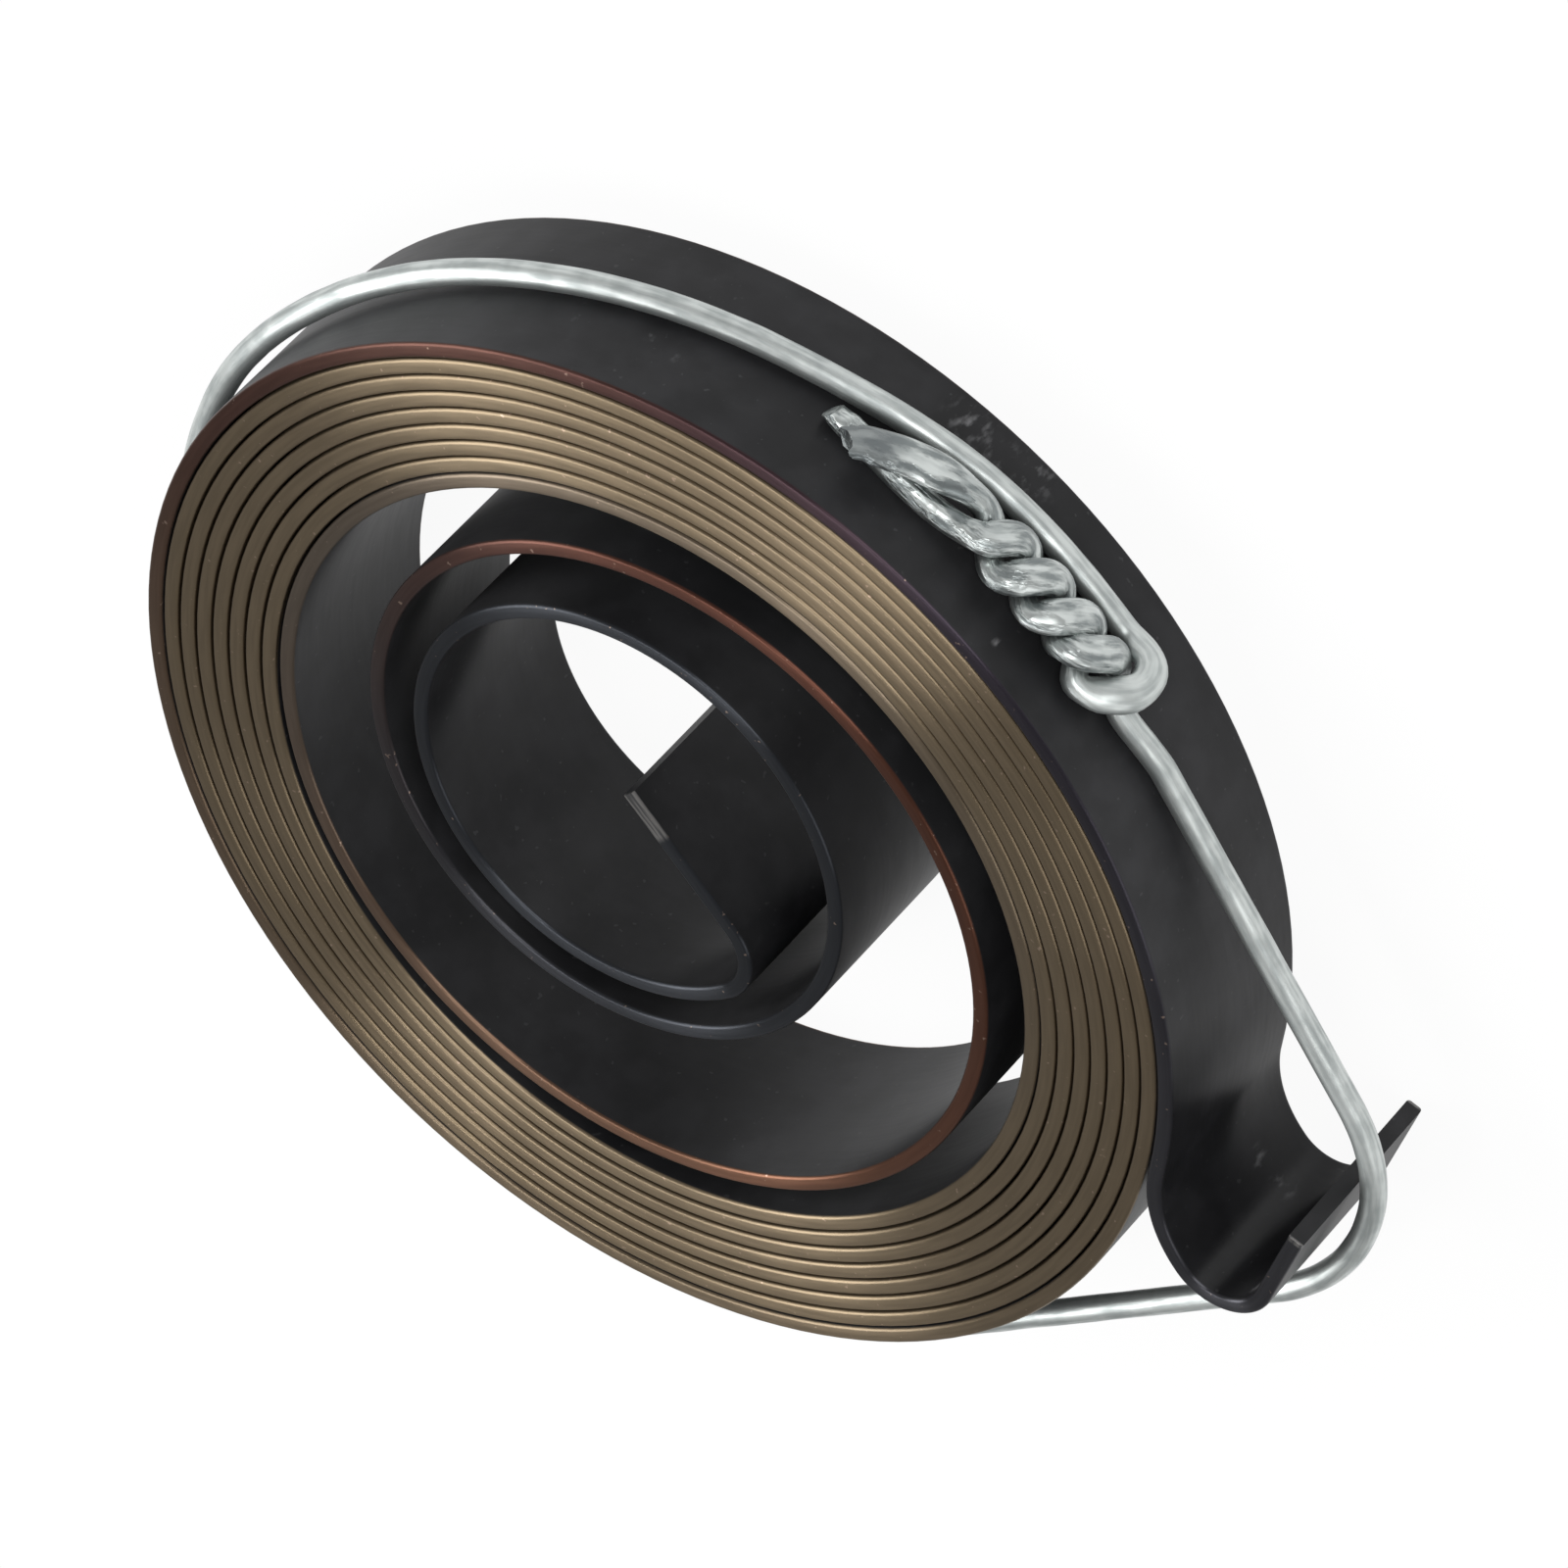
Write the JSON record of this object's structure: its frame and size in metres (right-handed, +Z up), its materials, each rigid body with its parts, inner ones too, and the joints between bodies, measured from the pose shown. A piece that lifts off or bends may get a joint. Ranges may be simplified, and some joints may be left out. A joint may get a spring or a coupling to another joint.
{
  "type": "spiral power spring",
  "caption": "Flat spiral power spring of tempered steel strip: close outer turns, a loose inner coil, an inner tab and an outer hook, held wound by a twisted binding wire.",
  "frame": {"origin": "on the coil's axis, in the plane of the lower edge on which the spring lies", "axes": "+Z up along the coil's axis; the outer hook lies towards +X and -Y, and the twist of the wire towards +X and +Y"},
  "size_m": [0.0549, 0.0514, 0.009],
  "materials": {
    "tempered_steel": "hardened and tempered strip, blue-black faces and bronze-brown rolled edges, thin oil film",
    "zinc_wire": "galvanised soft iron wire, bright, with plier marks on the twist"
  },
  "bodies": {
    "root": {"spring_strip": "tempered_steel", "binding_wire": "zinc_wire"}
  },
  "joints": []
}
